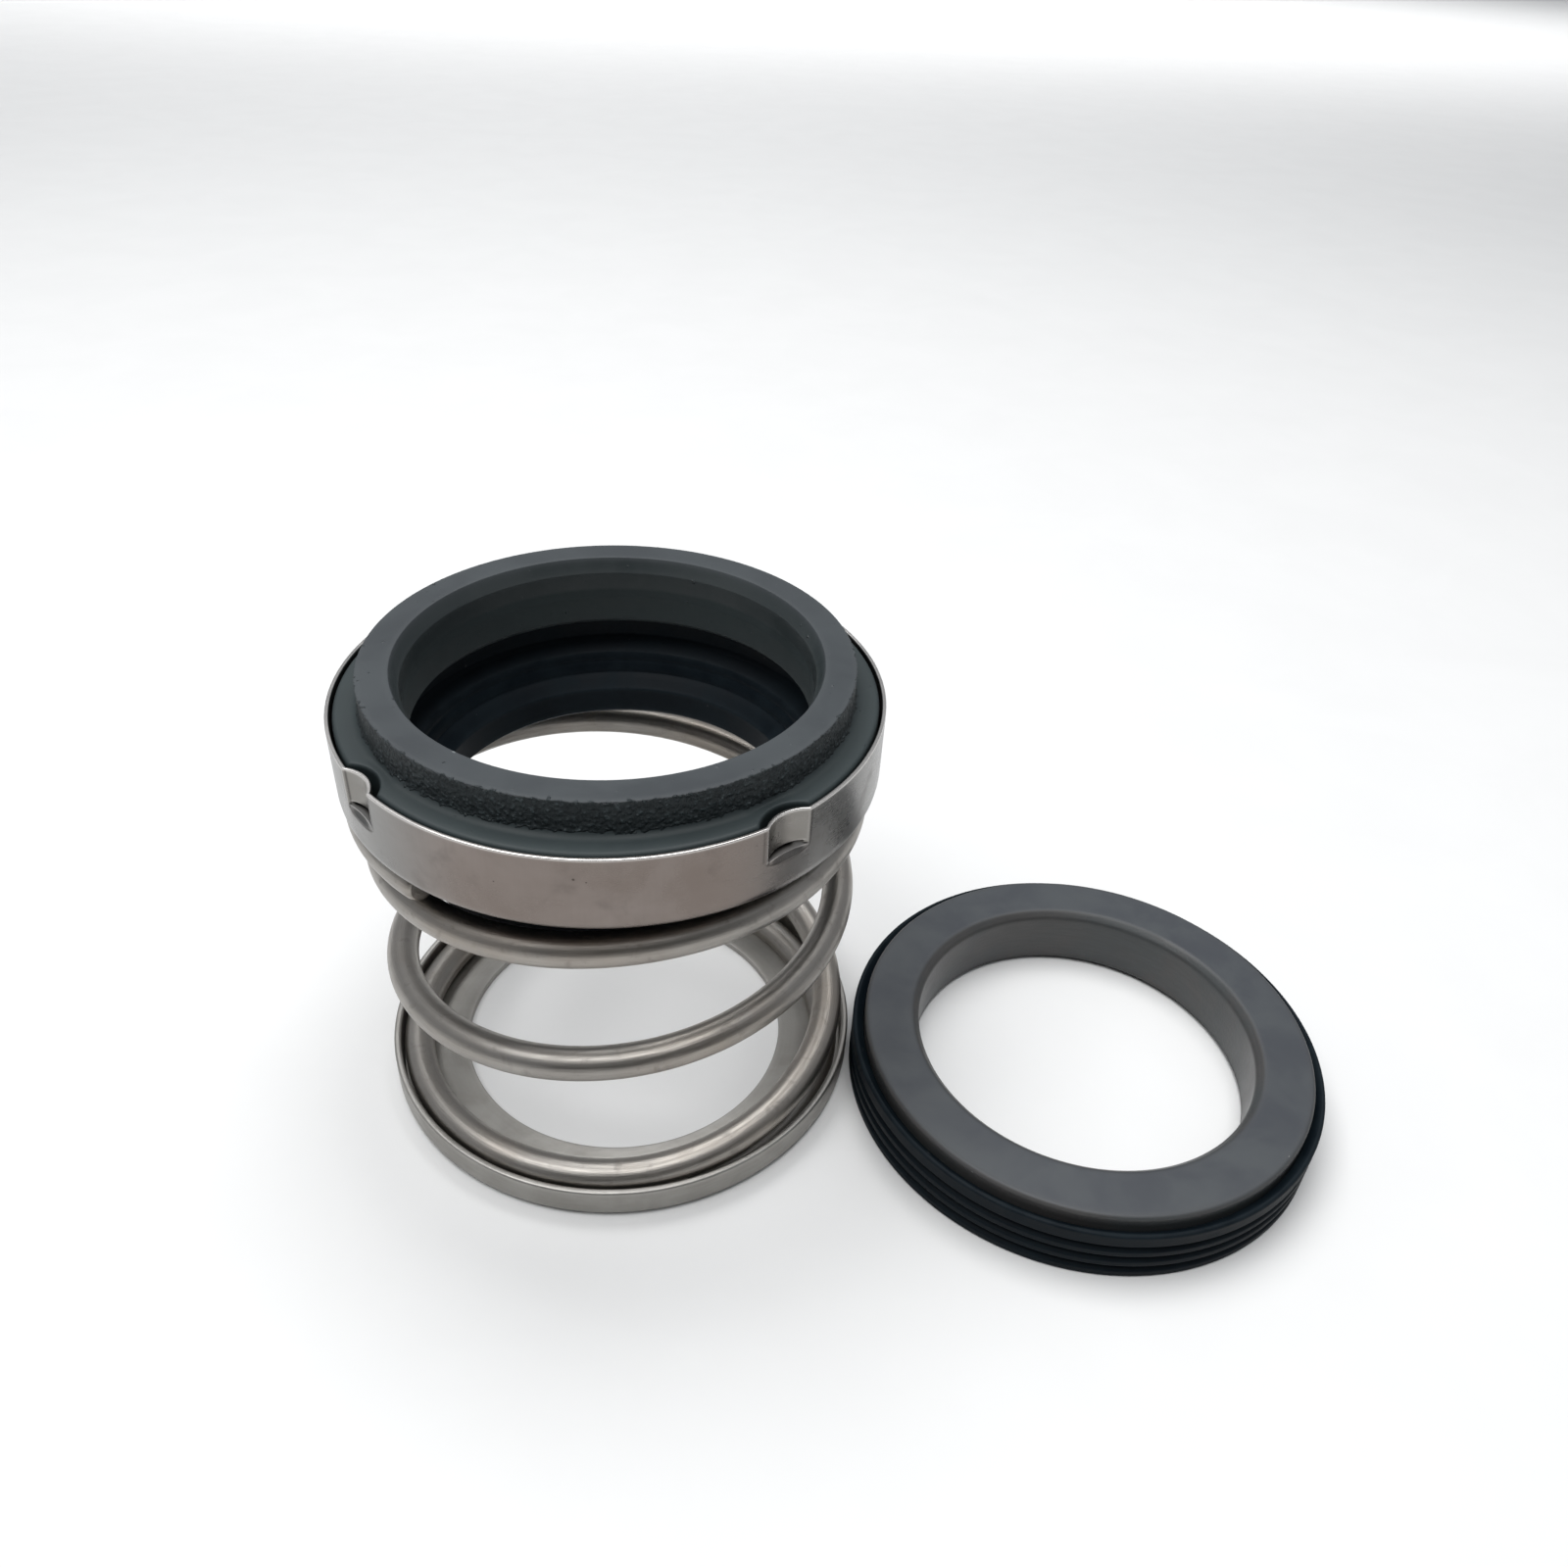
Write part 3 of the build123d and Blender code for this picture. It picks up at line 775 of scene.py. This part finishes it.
def ring_ceramic():
    """Sintered carbide: lapped satin face, smooth dark shoulder, coarse grain round the nose with painted
    shade in its pits and painted light on its crests, small chips.
    """
    material, tree, shader, place = new_finish("ring_ceramic")
    names = ("rough", "edge", "inside", "shoulder")
    rough, edge, inside, shoulder = (share_of(tree, name) for name in names)
    clouds = effect(tree, "clouding", Vector=place, Scale=90.0, Low=0.3, High=0.7)["Mask"]
    patches = effect(tree, "clouding", Vector=place, Scale=900.0, Low=0.35, High=0.65)["Mask"]
    grain = effect(tree, "grain", Vector=place, Scale=2350.0)
    crumbs = add_node(tree, "TexNoise", {"Vector": place, "Scale": 1300.0, "Detail": 2.0}).outputs[0]
    torn = calculated(tree, "MULTIPLY", calculated(tree, "SUBTRACT", crumbs, 0.5), 1.7)
    coarse = ranged(tree, calculated(tree, "ADD", rough, torn), 0.35, 0.6)
    face = mixed(tree, clouds, (0.034, 0.040, 0.045), (0.042, 0.050, 0.055))
    plain = mixed(tree, clouds, (0.014, 0.023, 0.025), (0.020, 0.031, 0.033))
    bore = mixed(tree, clouds, (0.026, 0.034, 0.036), (0.036, 0.044, 0.046))
    # The grain's pits are painted dark and its crests light, following its height: painted shade and painted
    # light.
    pits = mixed(tree, patches, (0.003, 0.008, 0.010), (0.010, 0.017, 0.019))
    crests = mixed(tree, patches, (0.042, 0.060, 0.065), (0.070, 0.090, 0.097))
    grain_shade_and_light = mixed(tree, ranged(tree, grain["Height"], 0.28, 0.62), pits, crests)
    colour = mixed(tree, shoulder, mixed(tree, inside, face, bore), plain)
    colour = mixed(tree, coarse, colour, grain_shade_and_light)
    glints = calculated(tree, "MULTIPLY", grain["Glints"], coarse)
    colour = mixed(tree, calculated(tree, "MULTIPLY", glints, 0.35), colour, (0.16, 0.18, 0.19))
    chips = effect(tree, "specks", Vector=place, Scale=900.0, Share=0.12, Size=0.2)["Mask"]
    chipped = calculated(tree, "MULTIPLY", chips, calculated(tree, "GREATER_THAN", edge, 0.7))
    colour = mixed(tree, calculated(tree, "MULTIPLY", chipped, calculated(tree, "SUBTRACT", 1.0, shoulder)),
                   colour, (0.15, 0.165, 0.17))
    tree.links.new(colour, shader.inputs["Base Color"])
    unlapped = calculated(tree, "MAXIMUM", calculated(tree, "MAXIMUM", coarse, shoulder), edge)
    satin = ranged(tree, clouds, 0.0, 1.0, 0.36, 0.44)
    tree.links.new(calculated(tree, "ADD", satin, calculated(tree, "MULTIPLY", unlapped, 0.22)),
                   shader.inputs["Roughness"])
    lapping = effect(tree, "marks_round", Vector=place, Spacing=0.00022, Run=0.004)["Height"]
    raised = bumped(tree, shader, lapping, 0.000002)
    pebbles = calculated(tree, "MULTIPLY", grain["Height"], coarse)
    bumped(tree, shader, pebbles, 0.0005, under=raised)
    return material


def pressed_steel():
    """Deep-drawn stainless sheet: fine upright drawing lines, a painted warm reflection round the front,
    stains, edges with wear and a painted highlight, and painted light and shade at the lugs.
    """
    material, tree, shader, place = new_finish("pressed_steel", metallic=1.0)
    names = ("edge", "slit", "panel", "fold", "ridge", "front_reflection")
    edge, slit, panel, fold, ridge, front_reflection = (share_of(tree, name) for name in names)
    clouds = effect(tree, "clouding", Vector=place, Scale=75.0, Low=0.3, High=0.7)["Mask"]
    stains = effect(tree, "clouding", Vector=place, Scale=240.0, Low=0.5, High=0.8)["Mask"]
    specks = effect(tree, "specks", Vector=place, Scale=1000.0, Share=0.14, Size=0.13)["Mask"]
    # The rim is painted bright: its wear and a painted highlight.
    rim = calculated(tree, "POWER", edge, 4.0)
    wear_and_highlight = effect(tree, "wear_and_highlight_edge", Vector=place, Edge=rim, Scale=500.0, Wear=1.6)["Mask"]
    marks = effect(tree, "marks_round", Vector=place, Spacing=0.0002, Run=0.006)["Height"]
    drawn = add_node(tree, "Mapping", {"Vector": place, "Scale": (3600.0, 3600.0, 160.0)}).outputs[0]
    streaks = add_node(tree, "TexNoise", {"Vector": drawn, "Scale": 1.0, "Detail": 2.0}).outputs[0]
    plain_steel = mixed(tree, clouds, (0.185, 0.182, 0.176), (0.240, 0.236, 0.228))
    warm_reflected = mixed(tree, clouds, (0.187, 0.156, 0.139), (0.243, 0.210, 0.192))
    # Warm towards the front: a painted reflection.
    colour = mixed(tree, front_reflection, plain_steel, warm_reflected)
    colour = mixed(tree, ranged(tree, streaks, 0.35, 0.75, 0.0, 0.06), colour, (0.15, 0.125, 0.11))
    colour = mixed(tree, calculated(tree, "MULTIPLY", stains, 0.36), colour, (0.110, 0.094, 0.085))
    colour = mixed(tree, calculated(tree, "MULTIPLY", specks, 0.7), colour, (0.05, 0.042, 0.038))
    # Painted light on the lug's panel.
    colour = mixed(tree, calculated(tree, "MULTIPLY", panel, 0.5), colour, (0.285, 0.270, 0.245))
    # Painted shade in the creases and under the lip.
    colour = mixed(tree, calculated(tree, "MULTIPLY", fold, 0.75), colour, (0.045, 0.040, 0.037))
    # Painted highlights on the rim, the ridges and the torn edges.
    bright = calculated(tree, "MAXIMUM", wear_and_highlight, calculated(tree, "MULTIPLY", ridge, 0.8))
    colour = mixed(tree, calculated(tree, "MULTIPLY", bright, 0.9), colour, (0.90, 0.87, 0.84))
    # Painted shade: the slit near black.
    colour = mixed(tree, slit, colour, (0.004, 0.004, 0.004))
    tree.links.new(colour, shader.inputs["Base Color"])
    streaked = ranged(tree, marks, 0.3, 0.7, 0.0, 0.03)
    cloudy = ranged(tree, clouds, 0.0, 1.0, 0.24, 0.31)
    rougher = calculated(tree, "ADD", streaked, cloudy)
    spoilt = calculated(tree, "MAXIMUM", slit, calculated(tree, "MULTIPLY", stains, 0.12))
    tree.links.new(calculated(tree, "ADD", rougher, spoilt), shader.inputs["Roughness"])
    raised = bumped(tree, shader, marks, 0.0000007)
    dents = effect(tree, "clouding", Vector=place, Scale=200.0, Low=0.2, High=0.8)["Mask"]
    bumped(tree, shader, dents, 0.000010, under=raised)
    return material


def drawn_wire():
    """Spring wire: satin drawn surface with lines along it, dark smudges, and flat ground ends."""
    material, tree, shader, place = new_finish("drawn_wire", metallic=1.0)
    ground = share_of(tree, "ground")
    along = add_node(tree, "UVMap", uv_map="along").outputs[0]
    lengthwise = add_node(tree, "Mapping", {"Vector": along, "Scale": (260.0, 70.0, 1.0)}).outputs[0]
    lines = add_node(tree, "TexNoise", {"Vector": lengthwise, "Scale": 1.0, "Detail": 3.0}).outputs[0]
    smudges = effect(tree, "clouding", Vector=place, Scale=520.0, Low=0.54, High=0.76)["Mask"]
    clouds = effect(tree, "clouding", Vector=place, Scale=110.0, Low=0.3, High=0.7)["Mask"]
    pits = effect(tree, "grain", Vector=place, Scale=3600.0)["Height"]
    warm = effect(tree, "clouding", Vector=place, Scale=48.0, Low=0.45, High=0.7)["Mask"]
    colour = mixed(tree, clouds, (0.315, 0.297, 0.274), (0.375, 0.356, 0.332))
    colour = mixed(tree, calculated(tree, "MULTIPLY", warm, 0.55), colour, (0.335, 0.290, 0.245))
    colour = mixed(tree, calculated(tree, "MULTIPLY", smudges, 0.4), colour, (0.15, 0.14, 0.13))
    colour = mixed(tree, ranged(tree, lines, 0.35, 0.75, 0.0, 0.25), colour, (0.25, 0.235, 0.22))
    colour = mixed(tree, ground, colour, (0.52, 0.50, 0.48))
    tree.links.new(colour, shader.inputs["Base Color"])
    satin = ranged(tree, lines, 0.3, 0.7, 0.34, 0.44)
    tree.links.new(calculated(tree, "ADD", satin, calculated(tree, "MULTIPLY", smudges, 0.12)),
                   shader.inputs["Roughness"])
    raised = bumped(tree, shader, lines, 0.000018)
    bumped(tree, shader, pits, 0.000010, under=raised)
    return material


def tumbled_steel():
    """Stamped sheet with an even grey tumbled surface, and edges made bright partly by wear and partly as a
    painted highlight.
    """
    material, tree, shader, place = new_finish("tumbled_steel", metallic=1.0)
    edge = share_of(tree, "edge")
    clouds = effect(tree, "clouding", Vector=place, Scale=160.0, Low=0.3, High=0.7)["Mask"]
    grain = effect(tree, "grain", Vector=place, Scale=2600.0)["Height"]
    wear_and_highlight = effect(tree, "wear_and_highlight_edge", Vector=place, Edge=edge, Scale=500.0, Wear=0.8)["Mask"]
    marks = effect(tree, "marks_round", Vector=place, Spacing=0.0003, Run=0.004)["Height"]
    colour = mixed(tree, clouds, (0.285, 0.275, 0.255), (0.35, 0.34, 0.32))
    # Edges painted bright: wear and a painted highlight.
    colour = mixed(tree, calculated(tree, "MULTIPLY", wear_and_highlight, 0.35), colour, (0.50, 0.48, 0.46))
    tree.links.new(colour, shader.inputs["Base Color"])
    tree.links.new(ranged(tree, marks, 0.3, 0.7, 0.40, 0.50), shader.inputs["Roughness"])
    raised = bumped(tree, shader, marks, 0.000005)
    bumped(tree, shader, grain, 0.000018, under=raised)
    return material


def seat_ceramic():
    """Pale carbide seat: lapped face with faint clouds, warmer and rougher ground sides."""
    material, tree, shader, place = new_finish("seat_ceramic")
    edge, lapped = share_of(tree, "edge"), share_of(tree, "lapped")
    clouds = effect(tree, "clouding", Vector=place, Scale=130.0, Low=0.3, High=0.7)["Mask"]
    grain = effect(tree, "grain", Vector=place, Scale=3000.0)
    low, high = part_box("seat_ring")
    centre = tuple((low + high) / 2)
    marks = effect(tree, "marks_round", Vector=place, Centre=centre, Spacing=0.00025, Run=0.003)["Height"]
    chips = effect(tree, "specks", Vector=place, Scale=800.0, Share=0.06, Size=0.3)["Mask"]
    face = mixed(tree, clouds, (0.050, 0.055, 0.064), (0.061, 0.068, 0.074))
    warm = effect(tree, "clouding", Vector=place, Scale=60.0, Low=0.4, High=0.6)["Mask"]
    side = mixed(tree, warm, (0.050, 0.056, 0.058), (0.062, 0.060, 0.059))
    side = mixed(tree, ranged(tree, marks, 0.35, 0.65, 0.0, 0.3), side, (0.038, 0.039, 0.040))
    colour = mixed(tree, lapped, side, face)
    # The edges are painted darker.
    darker_edges = calculated(tree, "MULTIPLY", edge, 0.3)
    colour = mixed(tree, darker_edges, colour, (0.030, 0.029, 0.029))
    chipped = calculated(tree, "MULTIPLY", chips, calculated(tree, "GREATER_THAN", edge, 0.7))
    colour = mixed(tree, calculated(tree, "MULTIPLY", chipped, 0.6), colour, (0.30, 0.30, 0.30))
    tree.links.new(colour, shader.inputs["Base Color"])
    satin = ranged(tree, clouds, 0.0, 1.0, 0.30, 0.38)
    tree.links.new(calculated(tree, "ADD", satin, calculated(tree, "MULTIPLY", edge, 0.2)),
                   shader.inputs["Roughness"])
    raised = bumped(tree, shader, marks, 0.000002)
    ground = calculated(tree, "MULTIPLY", grain["Height"], calculated(tree, "SUBTRACT", 1.0, lapped))
    bumped(tree, shader, ground, 0.00002, under=raised)
    return material


def moulded_rubber():
    """Black nitrile with a blue cast: faint bloom, dust, mould lines, and edges made lighter partly by wear
    and partly as a painted highlight.
    """
    material, tree, shader, place = new_finish("moulded_rubber", specular=0.10)
    edge = share_of(tree, "edge")
    bloom = effect(tree, "clouding", Vector=place, Scale=180.0, Low=0.35, High=0.75)["Mask"]
    dust = effect(tree, "specks", Vector=place, Scale=900.0, Share=0.05, Size=0.2)["Mask"]
    marks = effect(tree, "marks_round", Vector=place, Spacing=0.0004, Run=0.01)["Height"]
    grain = effect(tree, "grain", Vector=place, Scale=4200.0)["Height"]
    wear_and_highlight = effect(tree, "wear_and_highlight_edge", Vector=place, Edge=edge, Scale=400.0, Wear=0.5)["Mask"]
    colour = mixed(tree, bloom, (0.0025, 0.0055, 0.0085), (0.0060, 0.0110, 0.0150))
    # Edges painted lighter: wear and a painted highlight.
    colour = mixed(tree, calculated(tree, "MULTIPLY", wear_and_highlight, 0.3), colour, (0.018, 0.025, 0.030))
    colour = mixed(tree, calculated(tree, "MULTIPLY", dust, 0.25), colour, (0.12, 0.12, 0.12))
    tree.links.new(colour, shader.inputs["Base Color"])
    matt = ranged(tree, bloom, 0.0, 1.0, 0.52, 0.64)
    tree.links.new(calculated(tree, "ADD", matt, calculated(tree, "MULTIPLY", dust, 0.3)),
                   shader.inputs["Roughness"])
    raised = bumped(tree, shader, marks, 0.00001)
    bumped(tree, shader, grain, 0.00001, under=raised)
    return material


def matt_paper():
    """Plain pale paper of the studio floor."""
    material, tree, shader, place = new_finish("matt_paper", specular=0.2)
    shader.inputs["Roughness"].default_value = 0.7
    tooth = effect(tree, "clouding", Vector=place, Scale=40.0, Low=0.2, High=0.8)["Mask"]
    tree.links.new(mixed(tree, tooth, (0.79, 0.79, 0.785), (0.81, 0.81, 0.805)), shader.inputs["Base Color"])
    return material


# --- floor, light and camera -------------------------------------------------------------------------------

def floor():
    """Flat square of paper that everything stands on."""
    mesh = bpy.data.meshes.new("floor")
    reach = 3.0
    mesh.from_pydata([(-reach, -reach, 0), (reach, -reach, 0), (reach, reach, 0), (-reach, reach, 0)],
                     [], [(0, 1, 2, 3)])
    mesh.materials.append(matt_paper())
    ground = bpy.data.objects.new("floor", mesh)
    bpy.context.scene.collection.objects.link(ground)


def area_light(name, place, target, size, power, spread=180.0):
    """Soft box aimed at the target. The spread in degrees keeps its light off what lies outside the beam."""
    light = bpy.data.lights.new(name, "AREA")
    light.shape = "RECTANGLE"
    light.size, light.size_y = size
    light.energy = power
    light.spread = np.radians(spread)
    lamp = bpy.data.objects.new(name, light)
    lamp.location = place
    lamp.rotation_euler = (Vector(target) - Vector(place)).to_track_quat("-Z", "Y").to_euler()
    bpy.context.scene.collection.objects.link(lamp)


def studio_world():
    """Room light by direction: bright overhead, mid grey walls, and a dim stretch towards the front.

    The backdrop that shows past the floor is one pale grey all round.
    """
    world = bpy.data.worlds.new("studio")
    world.use_nodes = True
    tree = world.node_tree
    background = tree.nodes["Background"]
    direction = add_node(tree, "TexCoord").outputs["Generated"]
    parts = add_node(tree, "SeparateXYZ", {"Vector": direction}).outputs
    upward = ranged(tree, parts["Z"], 0.6, 1.0)
    away = ranged(tree, parts["Y"], -0.9, -0.3)
    walls = mixed(tree, away, (0.05, 0.05, 0.05), (0.36, 0.37, 0.385))
    room = mixed(tree, upward, walls, (0.50, 0.52, 0.545))
    seen = add_node(tree, "LightPath").outputs["Is Camera Ray"]
    tree.links.new(mixed(tree, seen, room, (0.60, 0.61, 0.62)), background.inputs["Color"])
    bpy.context.scene.world = world


def lights():
    """Even room, a soft box over the seal and one for the floor behind it."""
    studio_world()
    area_light("overhead", (-0.08, 0.04, 0.72), (0.01, 0, 0.02), (0.80, 0.66), 6.6)
    area_light("far_floor", (0.3, 1.5, 1.5), (0.3, 1.6, 0), (2.4, 1.2), 12.0, spread=70.0)
    bpy.context.scene.view_settings.view_transform = "Standard"


def camera():
    """Camera at the head's front, looking down at both units."""
    view = bpy.data.cameras.new("camera")
    view.sensor_width = 36.0
    view.lens = 28.65
    view.clip_start, view.clip_end = 0.005, 20
    eye = Vector((0.0, -0.11079, 0.11928))
    forward = Vector((0.1330, 0.7963, -0.5900)).normalized()
    up_hint = Vector((0.0401, 0.5905, 0.8060))
    right = forward.cross(up_hint).normalized()
    up = right.cross(forward)
    eyepiece = bpy.data.objects.new("camera", view)
    turn = Matrix((right, up, -forward)).transposed()
    eyepiece.matrix_world = Matrix.Translation(eye) @ turn.to_4x4()
    bpy.context.scene.collection.objects.link(eyepiece)
    bpy.context.scene.camera = eyepiece


rubber = moulded_rubber()

primary_ring(ring_ceramic())
retainer(pressed_steel())
bellows(rubber)
spring(drawn_wire())
spring_seat(tumbled_steel())
seat_ring(seat_ceramic())
seat_boot(rubber)
floor()
lights()
camera()
